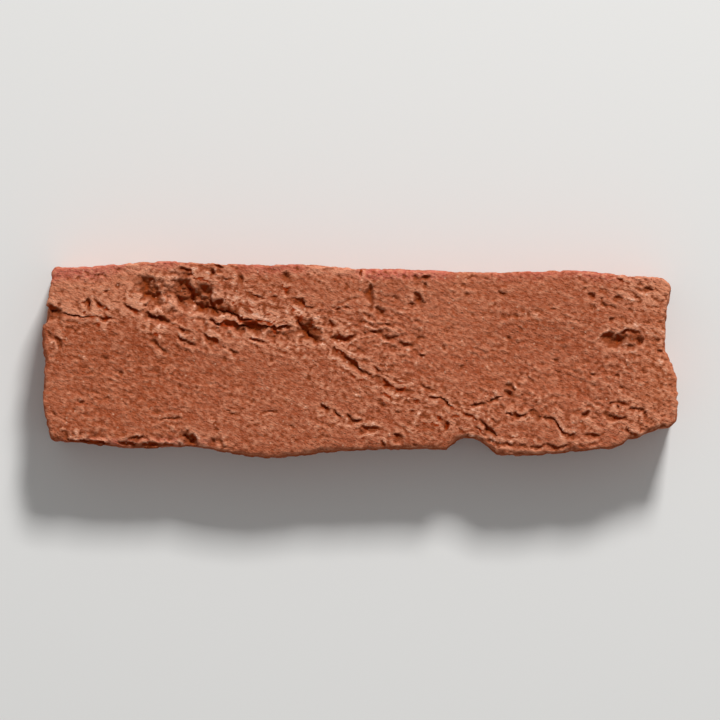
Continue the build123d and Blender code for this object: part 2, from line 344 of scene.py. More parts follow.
# Each crease in the photo: its points, width, depth, lip, reach, overhang and steep side.
CREASES = tuple(Crease(*row) for row in (
    ((-103, 16.3, -98, 15.6, -94.4, 14.7, -90.2, 14.5, -85.9, 14.2, -80.9, 13.7), 1.1, 0.9, 0.45, 7, 0.4),
    ((-92.6, 18.6, -91.4, 19.2, -89.8, 19.6), 1.3, 1.1, 0.3),
    ((-89.6, 20.8, -89.3, 18.8, -89, 16.6), 1.8, 2, 0.6),
    ((-87.8, 21.2, -85.8, 18.8, -84.6, 17.4, -82.4, 17.2), 1.8, 1.9, 0.6),
    ((-85.2, 16.8, -84.4, 15.2, -82.8, 14, -80.2, 13.7), 1.9, 1.7, 0.5),
    ((-92, 16.6, -90.4, 16, -89.8, 14.8), 1.1, 0.9, 0.4, 1.4),
    ((-84.8, 22.4, -83, 22.8, -81.6, 21.8), 1.1, 0.9, 0.2, 3),
    ((-102.6, 8.6, -99.8, 7.6, -98.2, 6, -97.4, 3.6), 2.2, 1.9, 0.5, 1.8),
    ((-78.1, 18.8, -76, 17.1, -73, 16.3, -71, 16), 1.6, 1.3, 0.6, 2.6, 0.5),
    ((-71.6, 15.8, -69, 14.8, -66.7, 14.2, -62.2, 13), 3.4, 2, 0.5, 1.8, 0.8),
    ((-76.5, 21.4, -74, 20.6, -71.5, 18.9), 0.8, 0.4, 0.7, 1.6, 0, Wall.RIGHT),
    ((-49.5, 13.6, -46.5, 12.6, -43.9, 12.4, -39.6, 12.4, -36.8, 11.5, -31.1, 11.7, -26.1, 11.7, -22, 11.4),
     2, 1.6, 0.8, 7, 0.8),
    ((-51, 18.4, -48.2, 17, -43.9, 16.3, -41.1, 15.6, -38.9, 14.4, -34, 14.2, -30.4, 13.5, -28.3, 12.9),
     2.3, 2.1, 0.5, 3, 0.6),
    ((-21.1, 13.5, -17.6, 9.9, -14, 5.6), 1.8, 1.7, 0.3, 3, 0.5),
    ((-59.8, 30.6, -57.4, 30.2, -55.8, 29.6, -55, 28.4), 2.4, 2),
    ((-49.8, 30.2, -49, 29, -47.4, 28.6), 1.7, 1.2),
    ((-48.6, 31.6, -46.4, 30.8, -44.4, 30.6), 1.8, 1.6, 0, 3),
    ((-38.6, 23.2, -35.4, 22, -31.2, 20.4), 1.5, 1.3, 0.4, 3, 0.3),
    ((-40.4, 28.8, -39.8, 27, -38.4, 25.2), 1.8, 1),
    ((-63, 29.2, -60, 28.5, -55, 28.3, -52.6, 27.3, -50.2, 26.6), 1.5, 1.4, 0.5),
    ((-25.4, 22.8, -23, 22.2, -20.6, 22.2), 1.5, 1.2, 0.3, 3),
    ((-24.8, 20.8, -21, 20.4, -19, 20, -17.6, 18.4, -15.4, 17.2), 2.2, 1.6, 0.5, 1.8, 0.4),
    ((-26, 28.6, -23.6, 27.5, -21.2, 25.6), 1.9, 1.1, 0.5),
    ((-26.4, 24.6, -23.6, 23.6, -21.4, 23.4), 1.3, 1, 0.7, 1.4),
    ((-68.6, 10.6, -68.8, 8.4, -68, 6.2, -65.6, 4, -62.6, 1.8), 1.3, 1.1, 0.35, 1.8),
    ((-60.8, 9.2, -58.8, 6.8, -56.4, 5.3, -53.6, 4.8), 1.3, 1.2, 0.4, 1.8),
    ((-61.2, 11.2, -57.4, 9.9, -53.9, 8.4), 1.5, 1.3, 0.4, 1.8),
    ((-51.6, 8.8, -49.6, 7.2, -48, 6.2, -46.4, 4.2), 2.2, 1.6, 0.7, 1.6, 0.4),
    ((-45.6, 4.8, -42.8, 3.8, -39.2, 1.7), 1.6, 1.5, 0.6, 1.6, 0.4),
    ((-37.6, 8.3, -34.2, 7.2, -29, 5.5), 1.3, 1.1, 0.4, 1.8),
    ((-30, 1.6, -27.3, 0.6), 1.5, 1.1, 0.3, 3),
    ((-35, 5.8, -33.4, 3.6), 1.2, 0.9, 0.3, 3),
    ((-9, 5.2, -7.4, 3.4, -5.4, 1.8, -3.2, 0.2, -1.2, -1.2, 0.2, -2.8, 1.8, -4, 4.2, -5.4), 1.9, 1.6, 0.45,
     1.6, 0.5),
    ((2.8, -4.8, 5, -5.2, 6.6, -6, 8.2, -7.4, 10.2, -8.2, 12.6, -9.6), 1.9, 1.6, 0.5, 1.4),
    ((3.6, -2, 5.6, -3.2, 7.4, -4.4, 10.2, -5.8), 1.4, 1.2, 0.5, 1.4),
    ((11.4, -5.8, 13, -7.2, 15, -7.8), 1.2, 1.1, 0.5, 1.2),
    ((10.8, -9, 12.8, -9.9, 16, -10.2), 2.1, 1.8, 0.6, 1.2, 0.4),
    ((19.4, -7.6, 21.8, -9.2, 25.2, -9.8), 1.5, 1.4, 0.5, 1.4),
    ((20.6, -11.4, 23.2, -11.8, 25.4, -11.9, 27.4, -13.2, 30, -15.4, 32.4, -16.4), 1.4, 1.2, 0.4, 1.6, 0.3),
    ((33.8, -17, 35.6, -17.7, 37, -18.8), 2, 1.8, 0.6, 1.4),
    ((39.4, -19.8, 41.4, -21.2, 43.4, -23, 45.6, -25.2), 2.4, 1.8, 0.5, 1.6, 0.4),
    ((38, -21.8, 40, -23.4, 41.6, -24.6), 1.2, 0.9, 0.4, 1.2),
    ((20.6, -17, 21.4, -18.4, 22.6, -19.4), 2, 1.7, 0.5, 1.4),
    ((24.2, -18.4, 26.2, -18.6, 28, -20, 28.4, -22.6, 27.2, -24), 1.8, 1.6, 0.5, 1.4),
    ((15.8, -17.3, 18.6, -17), 1.6, 1.4, 0.4, 1.2),
    ((24.4, -15.7, 26.6, -15.2), 1.6, 1.3, 0.4, 1.2),
    ((36.2, -14.2, 38.6, -14.1, 41.6, -14), 1.4, 1.3, 0.4, 1.8, 0.3),
    ((41, -13.6, 43.4, -12.8, 46, -12, 48.4, -11.9), 1.3, 1.2, 0.4, 1.8, 0.3),
    ((10.2, -23.8, 12.2, -24.8, 14.6, -26.4), 2, 1.6),
    ((6.8, -26.6, 9, -28.2), 1.5, 1, 0.3, 3),
    ((-9.4, 6.9, -7, 7.2, -4.6, 7.7, -2, 8.3, 0.4, 8.6), 1.7, 1.5, 0.4, 1.8),
    ((1.4, 10.4, 3.6, 10, 6, 9.8), 1.3, 1, 0.3),
    ((6.8, 8.8, 10.2, 7.9, 13.4, 7.2), 1.2, 0.9),
    ((11.8, 6, 14.6, 5, 18.4, 3.8), 1.3, 1),
    ((19.8, 2, 22.2, 0.8), 1.3, 1.1, 0.4, 1.4),
    ((26.8, 4.6, 29.2, 4), 1.3, 0.9, 0.3, 1.4),
    ((-13.4, -14, -11.4, -15.8, -10.2, -17.2), 2.4, 1.7, 0.4, 1.6, 0.3),
    ((-10, -16.4, -8.2, -17.2, -6.4, -18.4, -4.6, -19.4), 1.7, 1.5, 0.4, 1.6, 0.3),
    ((-4, -17.6, -2.4, -19.6, -0.6, -20, 1.8, -19.8), 1.6, 1.4, 0.4, 3, 0.3),
    ((-2.8, -22.6, 0.8, -22.4, 3.6, -21.8, 5.4, -22.2, 7.8, -22.8), 1.8, 1.5),
    ((-33.2, -17.2, -26.8, -17.2), 1, 1.1, 0, 3),
    ((-41, -17.6, -37.6, -19.2), 0.9, 0.6, 0, 3),
    ((-66, -19, -62, -19, -58.2, -19.2), 1.1, 0.8, 0.3, 1.4),
    ((47, -17.4, 50, -17.8, 53, -17.8, 55.9, -17.9), 1.6, 1.4, 0.4, 1.6, 0.2),
    ((60, -18.4, 62.4, -19.4, 64.8, -20.8, 66.8, -23.2, 68.8, -24.9, 73.2, -25.2), 1.4, 1.2, 0.4, 1.8, 0.2),
    ((72.8, -24.8, 76, -24.9, 80, -24.1), 1.6, 1.2, 0.3, 3),
    ((79.4, -17.4, 82.4, -17.9, 84.8, -18.7, 88.8, -18.8), 1.9, 1.5, 0.4, 1.8),
    ((87.2, -16.2, 90.4, -15.8, 93.8, -16.3), 1.6, 1.2),
    ((85.4, 8.8, 88, 9.7, 91.4, 9.3), 1.4, 1.1),
    ((91.3, 9.2, 92.4, 7, 92, 4.6), 1, 0.8, 0, 3),
    ((84.2, 5.4, 86.6, 4.4, 89, 4.6, 91, 4.6), 1.4, 1.2, 0.3, 3),
    ((55.7, 16.4, 60.7, 16.2), 1.3, 0.9, 0.3, 1.4),
    ((45.8, 23.2, 47.6, 22.4, 49.2, 22), 1.4, 1, 0.3, 1.4),
    ((92.6, 23.8, 94.8, 23.2, 97.4, 23.2), 1.9, 1.6),
    ((84, 27.6, 86.2, 26.2, 88.6, 25), 1.3, 1, 0.7),
    ((-24, -25, -18.3, -27.1), 0.9, 0.6, 0, 3),
    ((-59.6, -5.1, -56.7, -6.5), 0.8, 0.5, 0, 3),
    ((-88.8, -10, -86.4, -11), 1.3, 1, 0.2, 1.4),
    ((-93.4, -13.8, -90.8, -13.6), 1.3, 1, 0.3, 1.4),
    ((-97, -26.4, -91, -27, -86, -27.4, -81.5, -27.6), 1.7, 1.7, 0.7, 1.4),
    ((-80.6, -26.6, -77, -27.4, -73.8, -27.2), 2.2, 2, 0.6, 1.4),
    ((-76.4, -25.4, -72, -25.7, -69.4, -25.6), 1.2, 1.1, 0.4, 1.4),
    ((-72.2, -27.6, -68, -28, -64, -28.2, -60.4, -28.6), 2, 1.8, 0.7, 1.4),
    ((-59, -24.6, -56.6, -25.6, -54.6, -27.8), 2.2, 1.5, 0.3, 3),
    ((40, -25.4, 45, -27.4, 52, -27.8, 60, -28.2, 70, -27.8), 1.3, 0.8, 0.2, 3),
))

# Each hollow or raised grain: its oval, depth, lumps and softness.
HOLLOWS = tuple(Hollow(*row) for row in (
    (-65, -8, 34, 17, 4, 0.5, 0), (11, 9, 26, 16, -8, 0.4, 0), (61, -5, 32, 18, -6, 0.6, 0),
    (-59.6, 18.4, 16.5, 7.4, -12, 0.9, 0.5), (-70, 22.9, 6.2, 4, -56, 1.5, 0.4, 1.2),
    (-57.9, 22.6, 6.4, 3.8, -78, 1.7, 0.3, 1.2), (-73.8, 19.4, 3.8, 2.6, -34, -1.1, 0),
    (-43.6, 14.1, 3.6, 1, -6, -1.2, 0.3), (-52.6, 21.4, 7, 3.8, -62, 0.8, 0.5, 1.2),
    (-49.6, 22.6, 3.4, 1.4, -84, 0.5, 0.6), (-50.6, 17.2, 6.2, 3, -46, 1.3, 0.6),
    (-43.8, 17.2, 5.4, 2.5, -14, 1.7, 0.4, 1), (-33.6, 9.4, 17.5, 3.7, -5, 1.1),
    (-35.6, 11.2, 7, 2.1, -3, 0.6, 0.4, 1), (-17.2, 9.8, 6.6, 3.7, -52, 1.9, 0.2, 1.1),
    (-7.2, 7.4, 3.2, 1.4, 6, 1), (3.4, 21.4, 3.4, 1.5, -76, 0.8, 0.8), (6.2, 15.6, 2.4, 1.2, -50, 0.6, 1),
    (3.4, 17.4, 1.2, 0.7, 90, 0.5, 0.8), (19.2, 19.4, 3, 1.4, -70, 0.65, 1),
    (16.4, 18.2, 2.2, 1.2, 0, 0.5, 1), (48.9, -11.2, 1.9, 0.9, -38, 0.6, 0.9),
    (49.6, -8.7, 1.9, 0.8, -38, 0.5, 0.9), (50.4, -13.3, 1.6, 0.6, -8, 0.5, 0.9),
    (57.9, -18.2, 2.6, 1.3, -36, 0.7, 0.9), (74.3, -17.6, 1.7, 1.1, -20, 0.7, 0.8),
    (84.6, -5.8, 1.7, 0.7, -28, 0.7), (22.2, -18.2, 1.4, 0.8, -50, 0.7),
    (82.6, 6.6, 4.2, 2.7, -8, 1.4, 0.5), (88.4, 6.8, 4.8, 3.1, 4, 0.75, 0.8),
    (91.6, 6.2, 1.4, 1.2, -60, 0.8, 0.5), (84.9, 19.9, 1.5, 1.2, 0, 0.7), (82.8, 12.7, 1.2, 1, 0, 0.6),
    (76.2, 20.8, 1.6, 1, -60, 0.6, 0.9), (76.8, 17.4, 1.5, 0.8, -30, 0.6, 0.9),
    (80.4, 18.8, 1.9, 0.9, -70, 0.6, 0.9), (19, 26.4, 2, 1.2, -30, 0.6, 0.9),
    (21.6, 27.3, 1.6, 1, 20, 0.6, 0.9), (21.4, 24.6, 1.5, 0.9, -60, 0.5, 0.9),
    (14.8, 27.2, 1.2, 0.8, 0, 0.6, 0.5), (-56.4, -26.4, 4.2, 2.6, -50, 0.8, 0.9),
    (-102.2, 15.6, 3.8, 2.8, -20, 1.5), (0.7, 29, 1.6, 0.8, 80, 1.4), (-99.2, 18.2, 1.1, 0.7, 60, 0.6),
    (14, -8.3, 1.3, 0.9, -20, -1.1, 0), (1.8, -4.6, 1.4, 0.9, -34, -0.8, 0),
    (-97.8, -23.4, 1.3, 0.9, 0, -0.9, 0), (-93.6, -24.2, 1.8, 1.2, -60, -0.9, 0),
    (-76.8, -25.4, 1.5, 0.8, 0, -1, 0), (-62.2, -22.2, 1.2, 0.9, 0, -0.9, 0),
    (-58.8, -26.6, 1.3, 1.5, 0, -1.1, 0), (-49.2, -19.8, 1.1, 0.9, 0, -0.9, 0),
    (-44.4, -27.8, 1.1, 0.9, 0, -0.9, 0), (-24.8, 25.2, 2.2, 0.8, -34, -0.9, 0),
    (-65.8, 16, 1.2, 0.8, -60, -1, 0), (-60.8, 12.2, 1.2, 0.8, -40, -0.8, 0),
    (-48.4, 9.2, 1.4, 0.8, -40, -0.8, 0), (-43.8, 3.6, 1.5, 0.8, 0, -0.8, 0),
    (58.2, -13, 1.6, 1, -20, -0.8, 0), (44.4, -10.6, 1.2, 0.8, -20, -0.8, 0),
    (41, -22.6, 1.2, 0.7, -50, -0.8, 0),
))

# Each patch of painted shade over the gouge, the pits and the lower rim: its oval and strength.
SHADE_PATCHES = tuple(ShadePatch(*row) for row in (
    (-70.4, 23.6, 5.2, 3.4, -52, 0.85), (-66.8, 20.8, 3.6, 1.8, -36, 0.6), (-57.9, 22.6, 5.8, 3, -80, 1),
    (-52, 22.4, 5.6, 3.6, -70, 0.75), (-50, 17.2, 5, 2.8, -50, 0.85), (-66.6, 14.5, 6.4, 2, -14, 0.9),
    (-43.4, 17, 5.2, 2.1, -12, 1), (-34.6, 11.6, 11, 1.9, -4, 0.9), (-36.4, 10.6, 5.4, 1.8, 0, 0.8),
    (-17.2, 9.8, 6.2, 3.2, -52, 0.9), (-22.6, 8.8, 3.4, 1.5, 0, 0.5), (-7.2, 7.2, 3.6, 1.3, 6, 0.75),
    (-18.4, 19.2, 4.6, 1.5, -34, 0.6), (-39.6, 26.8, 2.6, 1.3, -70, 0.6), (-23.6, 27.2, 3.6, 1.5, -26, 0.7),
    (-57.6, 29.8, 4, 1.5, -14, 0.8), (-48.6, 29.4, 2.4, 1.3, -60, 0.7), (-49, 6.4, 3.8, 1.4, -40, 0.6),
    (19.4, 19.6, 3.6, 1.8, -70, 0.5), (20.4, 26.4, 3.2, 1.8, 20, 0.6), (82.8, 6.4, 4.6, 2.8, -8, 0.9),
    (94.8, 23.2, 3.2, 1.2, -4, 0.6), (85, 19.8, 1.8, 1.6, 0, 0.6), (88.6, 6.4, 5.2, 3.2, 4, 0.55),
    (-56.8, -26.4, 5.4, 2.6, -50, 0.85), (57.9, -18.2, 3, 1.4, -36, 0.7), (49.2, -10.6, 3.4, 2, -60, 0.55),
    (43.2, -23, 4.4, 1.8, -50, 0.65), (84, -18.2, 5.4, 1.6, -12, 0.6), (13.4, -9.6, 3.2, 1.4, -6, 0.7),
    (-3.4, 0, 5, 1.5, -42, 0.6), (7.8, -7, 5, 1.3, -34, 0.6), (-11.4, -15.8, 2.6, 1.6, -46, 0.7),
    (-101.4, 15.4, 4.8, 3, -12, 1), (-70, -28.2, 9.5, 1.6, -4, 0.85), (-88, -28, 9.5, 1.2, -5, 0.8),
    (-75, -25.8, 3.6, 1.3, -10, 0.7), (-97.4, -26, 2.4, 1.6, -60, 0.6), (22, -18.4, 2.8, 1.2, -56, 0.6),
    (27.8, -21.4, 3.4, 1.2, -70, 0.5), (35.6, -17.8, 2.6, 1.2, -34, 0.6), (12.6, -25, 3.4, 1.2, -30, 0.6),
    (-2.2, -19.6, 4.4, 1.3, -14, 0.6), (3.8, -22.2, 4.4, 1.1, -4, 0.6), (-98.8, 6.2, 3.4, 1.2, -56, 0.6),
    (-88.9, 18.2, 2.6, 0.9, -84, 0.6), (-85.2, 18.6, 3.4, 1, -50, 0.6),
))


@dataclass(frozen=True)
class Outline:
    """The slip's outline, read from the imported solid's flat back as one loop, in millimetres."""

    loop: Points

    LEVEL = -0.99
    WELD = 1e-6

    @classmethod
    def of_node(cls, node: bpy.types.Object) -> "Outline":
        """Reads the loop round the node's flat back.

        Args:
            node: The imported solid.

        Returns:
            The outline, anticlockwise as seen from the face.
        """
        work = bmesh.new()
        work.from_mesh(node.data)
        bmesh.ops.remove_doubles(work, verts=work.verts, dist=cls.WELD)
        level = (face for face in work.faces if face.normal.z < cls.LEVEL)
        backs = {face for face in level if face.calc_center_median().z < MM}
        ways: dict[bmesh.types.BMVert, list[bmesh.types.BMVert]] = {}
        for edge in work.edges:
            if sum(face in backs for face in edge.link_faces) == 1:
                for vert in edge.verts:
                    ways.setdefault(vert, []).append(edge.other_vert(vert))
        chain = [next(iter(ways))]
        while onward := [vert for vert in ways[chain[-1]] if vert not in chain]:
            chain.append(onward[0])
        loop = np.array([vert.co[:2] for vert in chain]) / MM
        work.free()
        x, y = loop.T
        clockwise = np.sum(x * np.roll(y, -1) - np.roll(x, -1) * y) < 0.0
        return cls(loop[::-1] if clockwise else loop)

    def distance(self, spots: Points, reach: float) -> Values:
        """How far each place lies inside the outline, up to a reach.

        Args:
            spots: Places on the face, x and y.
            reach: The most that matters.

        Returns:
            One distance to a place.
        """
        result = np.full(len(spots), reach)
        for run in zip(self.loop, np.roll(self.loop, -1, axis=0)):
            near = near_box(spots, np.array(run), reach)
            result[near] = np.minimum(result[near], to_run(spots[near], *run)[0])
        return result

    def side(self, start: int, end: int, axis: int, shares: Values) -> Points:
        """Places along the part of the loop from one of its points to another.

        Args:
            start: The part's first point.
            end: Its last point.
            axis: 0 to share out its x, 1 to share out its y.
            shares: Shares of the way, from 0 at the lower end to 1 at the higher one.

        Returns:
            One place for each share.
        """
        line = np.roll(self.loop, -start, axis=0)[:(end - start) % len(self.loop) + 1]
        if line[0, axis] > line[-1, axis]:
            line = line[::-1]
        steady = np.maximum.accumulate(line[:, axis]) + np.arange(len(line)) * 1e-9
        wanted = line[0, axis] + shares * (line[-1, axis] - line[0, axis])
        other = np.interp(wanted, steady, line[:, 1 - axis])
        return np.stack((wanted, other) if axis == 0 else (other, wanted), axis=1)

    def patch(self, across: Values, up: Values) -> Points:
        """A net of places that fills the outline.

        Args:
            across: Shares of the way from the left end to the right end.
            up: Shares of the way from the lower bed to the upper bed.

        Returns:
            The net, indexed by column and row, with x and y in its last axis.
        """
        x, y = self.loop.T
        low_left, low_right = int(np.argmin(x + y)), int(np.argmax(x - y))
        high_right, high_left = int(np.argmax(x + y)), int(np.argmin(x - y))
        s = across[:, None, None]
        t = up[None, :, None]
        low = (1.0 - s) * self.loop[low_left] + s * self.loop[low_right]
        high = (1.0 - s) * self.loop[high_left] + s * self.loop[high_right]
        bottom = self.side(low_left, low_right, 0, across)[:, None] - low
        top = self.side(high_right, high_left, 0, across)[:, None] - high
        left = self.side(high_left, low_left, 1, up)
        right = self.side(low_right, high_right, 1, up)
        return (1.0 - t) * bottom + t * top + (1.0 - s) * left + s * right


@dataclass
class MouldedFace:
    """The relief of the moulded face at a set of places inside the outline, in millimetres."""

    spots: Points
    inside: Values
    seed: int = 11
    ragged_size: float = 3.8
    ragged_reach: float = 0.85
    flow_turn: float = -27.0
    tears: int = 460
    pits: int = 150

    def __post_init__(self) -> None:
        """Works out what the parts of the relief share."""
        self.noise = ClayNoise(self.seed)
        self.flat = on_level(self.spots)
        self.unrest = self.unrest_at(self.spots)
        self.ragged = self.spots + np.stack((self.shift(1.0), self.shift(2.0)), axis=1)
        self.crags = self.crags_at(self.flat, 4.2, 5.0)
        self.patchy = eased(0.42 + 1.5 * self.streaks(9.0, 4.2, 11.0))

    def lumps(self, size: float, layer: float) -> Values:
        """The noise at the places, in lumps of a size."""
        return self.noise.lumps(self.flat, size, layer)

    def streaks(self, along: float, across: float, layer: float, turn: float = 0.0) -> Values:
        """The noise at the places, in streaks at a turn from the flow of the clay."""
        return self.noise.streaks(self.flat, along, across, self.flow_turn + turn, layer)

    def shift(self, layer: float) -> Values:
        """How far each place moves along one axis, so that what is drawn on it is ragged."""
        parts = ((1.0, 1.0, 0.0), (0.55, 2.2, 4.0), (0.3, 4.8, 8.0))
        wander = [share * self.lumps(self.ragged_size / finer, layer + own) for share, finer, own in parts]
        return self.ragged_reach * sum(wander)

    def crags_at(self, places: Points, size: float, layer: float) -> Values:
        """Lumps of torn clay with sharp valleys between them.

        Args:
            places: Places in space.
            size: Size of the largest lumps in millimetres.
            layer: Any number, so that each layer has its own pattern.

        Returns:
            One value to a place, about -1 to 1.
        """
        total = np.zeros(len(places))
        for octave in range(3):
            lumps = self.noise.lumps(places, size / 1.9**octave, layer + octave)
            total += 0.5**octave * (2.8 * np.abs(lumps) - 0.85)
        return np.clip(total / 1.4, -1.0, 1.2)

    def unrest_at(self, spots: Points) -> Values:
        """How torn the clay is.

        Args:
            spots: Places on the face, x and y.

        Returns:
            One share to a place, from 0, where the hand smoothed it, to 1.
        """
        x, y = spots.T
        torn = 0.1 + 0.3 * self.noise.lumps(on_level(spots), 15.0, 9.0)
        torn += swell(y + 0.2 * (x + 40.0), 18.0, 14.0) * swell(x, -38.0, 36.0)
        torn += 0.74 * swell(x, 40.0, 60.0) * swell(y, -19.0, 8.0) + 0.62 * swell(x, 93.0, 14.0)
        torn += 0.62 * swell(x, 24.0, 22.0) * swell(0.87 * (y + 9.0) + 0.5 * (x - 10.0), 0.0, 5.0)
        torn += 0.42 * swell(x, 2.0, 22.0) * swell(y, 2.0, 15.0)
        torn -= 0.3 * swell(x, 55.0, 26.0) * swell(y, 5.0, 11.0)
        return np.clip(torn, 0.0, 1.0)

    @staticmethod
    def drawn_places(generator: np.random.Generator, margin: float, count: int) -> Points:
        """Random places on the face, a margin inside its box."""
        low, high = np.array(cad_bounds)[:, :2] / MM
        return generator.uniform(low + margin, high - margin, size=(count, 2))

    def scattered(self) -> list[Crease]:
        """Small tears that lie with the flow of the clay, thicker where it is torn.

        Returns:
            The tears.
        """
        generator = np.random.default_rng(self.seed + 1)
        middles = self.drawn_places(generator, 3.0, self.tears * 4)
        wanted = self.unrest_at(middles) ** 1.2 * 0.9 + 0.06
        kept = middles[generator.uniform(size=len(middles)) < wanted][:self.tears]
        found = []
        for middle, torn in zip(kept, self.unrest_at(kept)):
            length = 1.2 + generator.gamma(2.0, 1.5)
            level = generator.uniform() < 0.35
            turn = math.radians(generator.normal(-6.0 if level else self.flow_turn - 6.0, 11.0))
            bend = generator.normal(0.0, 0.12) * length
            half = np.array((math.cos(turn), math.sin(turn))) * length / 2.0
            bent = np.array((-math.sin(turn), math.cos(turn))) * bend
            size = generator.uniform(0.5, 1.0)
            depth = (0.2 + 0.42 * size * generator.uniform(0.4, 1.0)) * (0.55 + 0.6 * torn)
            points = np.concatenate((middle - half, middle + bent, middle + half))
            found.append(Crease(points, 0.55 + 0.5 * size, depth, 0.16 * size))
        return found

    def small_pits(self) -> list[Hollow]:
        """Small round pits, where grit fell out.

        Returns:
            The pits.
        """
        generator = np.random.default_rng(self.seed + 2)
        found = []
        for middle in self.drawn_places(generator, 2.0, self.pits):
            size = min(0.45 + generator.gamma(1.4, 0.18), 1.0)
            stretch = generator.uniform(1.0, 1.7)
            turn = generator.normal(self.flow_turn, 25.0)
            found.append(Hollow(*middle, size * stretch, size, turn, size * generator.uniform(0.3, 0.6)))
        return found

    def relief(self) -> tuple[Values, Points]:
        """The whole relief.

        Returns:
            Height of each place above the level, and how far it leans in x and y.
        """
        vigour = np.clip(0.85 + 0.95 * self.lumps(2.7, 3.0), 0.05, 1.6)
        spread = np.clip(1.1 + 0.9 * self.lumps(3.1, 3.7), 0.4, 2.1)
        height = 0.18 * self.lumps(48.0, 0.5) + 0.12 * self.lumps(17.0, 0.7)
        height += (0.08 + 0.2 * self.unrest) * self.streaks(14.0, 4.6, 1.5)
        lean = np.zeros_like(self.spots)
        for crease in (*CREASES, *self.scattered()):
            near = near_box(self.ragged, crease.corners, max(crease.width * 5.0, crease.reach * 2.2) + 1.0)
            added, leaned = crease.carve(self.ragged[near], vigour[near], spread[near])
            height[near] += added
            lean[near] += leaned
        for hollow in (*HOLLOWS, *self.small_pits()):
            margin = max(hollow.half_length, hollow.half_width) * 1.25 + 0.5
            near = near_box(self.ragged, np.array(((hollow.x, hollow.y),)), margin)
            height[near] += hollow.carve(self.ragged[near], self.crags[near])
        drawn_out = turned(self.flat, self.flow_turn + 4.0) * np.array((0.55, 1.0, 1.0))
        height += (0.2 + 0.5 * self.patchy) * self.unrest**1.5 * self.crags_at(drawn_out, 2.9, 12.0)
        return height + self.folds() + self.crumble() + self.grain(), lean

    def patch_shade(self) -> Values:
        """How much painted shade each place takes from the patches, from 0 to 1."""
        return np.max([stain.spread(self.ragged) for stain in SHADE_PATCHES], axis=0)

    def crumble(self) -> Values:
        """The crumbled band just inside the lower bed, where the clay dragged over the arris.

        Returns:
            Height to add.
        """
        x, y = self.spots.T
        right = eased(x, 38.0, 48.0) * eased(x, 78.0, 68.0) * 0.6
        where = eased(y, -18.0, -23.0) * np.maximum(eased(x, -34.0, -44.0), right)
        patchy = eased(0.55 + 1.3 * self.lumps(7.5, 14.0))
        band = swell(self.inside - 0.9 * self.lumps(5.0, 15.0), 2.6, 1.5)
        return -0.7 * band * where * patchy * np.clip(0.45 - self.crags, 0.0, 1.3)

    def folds(self) -> Values:
        """Low terraces, where one layer of clay slid over the next, steep on their lower side.

        Returns:
            Height to add.
        """
        x, y = self.spots.T
        swing = 7.0 * self.lumps(38.0, 2.0) + 16.0 * eased(x, 25.0, 75.0)
        turn = np.radians(self.flow_turn + swing)
        across = y * np.cos(turn) - x * np.sin(turn)
        total = np.zeros(len(self.spots))
        for spacing, share, layer in ((6.8, 0.5, 2.5), (2.9, 0.24, 3.5)):
            wander = 1.3 * self.streaks(4.0 * spacing, 1.7 * spacing, layer) + 0.22 * self.lumps(2.0, layer)
            fall = (across / spacing + wander) % 1.0
            terrace = (1.0 - fall) * eased(fall, 0.0, 0.09)
            where = eased(self.streaks(13.0, 5.0, layer + 1.0) + 0.4 * self.unrest, 0.05, 0.55)
            total += share * terrace * where * (0.08 + 0.8 * self.unrest)
        return total

    def grain(self) -> Values:
        """The sandy grain and fine wrinkles of the skin, coarser where it is torn.

        Returns:
            Height to add.
        """
        streaks = self.streaks(3.2, 1.2, 4.5)
        sharp = np.clip(np.abs(streaks) / 0.16 - 1.0, -1.0, 0.0)
        long_wrinkles = np.minimum(np.abs(self.streaks(7.0, 2.3, 6.0)), 0.35)
        short_wrinkles = np.minimum(np.abs(self.streaks(3.4, 1.5, 9.5, 9.0)), 0.35)
        wrinkled = (0.12 + self.unrest) * (0.25 + 0.95 * self.patchy)
        wrinkled *= long_wrinkles + 0.7 * short_wrinkles
        sandy = 0.15 * self.streaks(3.4, 1.3, 7.0, 6.0) + 0.3 * self.lumps(1.1, 8.0)
        sandy *= (0.95 + 0.6 * self.unrest) * np.clip(0.85 + 0.7 * self.lumps(8.0, 13.0), 0.35, 1.4)
        return sandy + wrinkled + 0.08 * streaks + (0.08 + 0.14 * self.unrest) * sharp


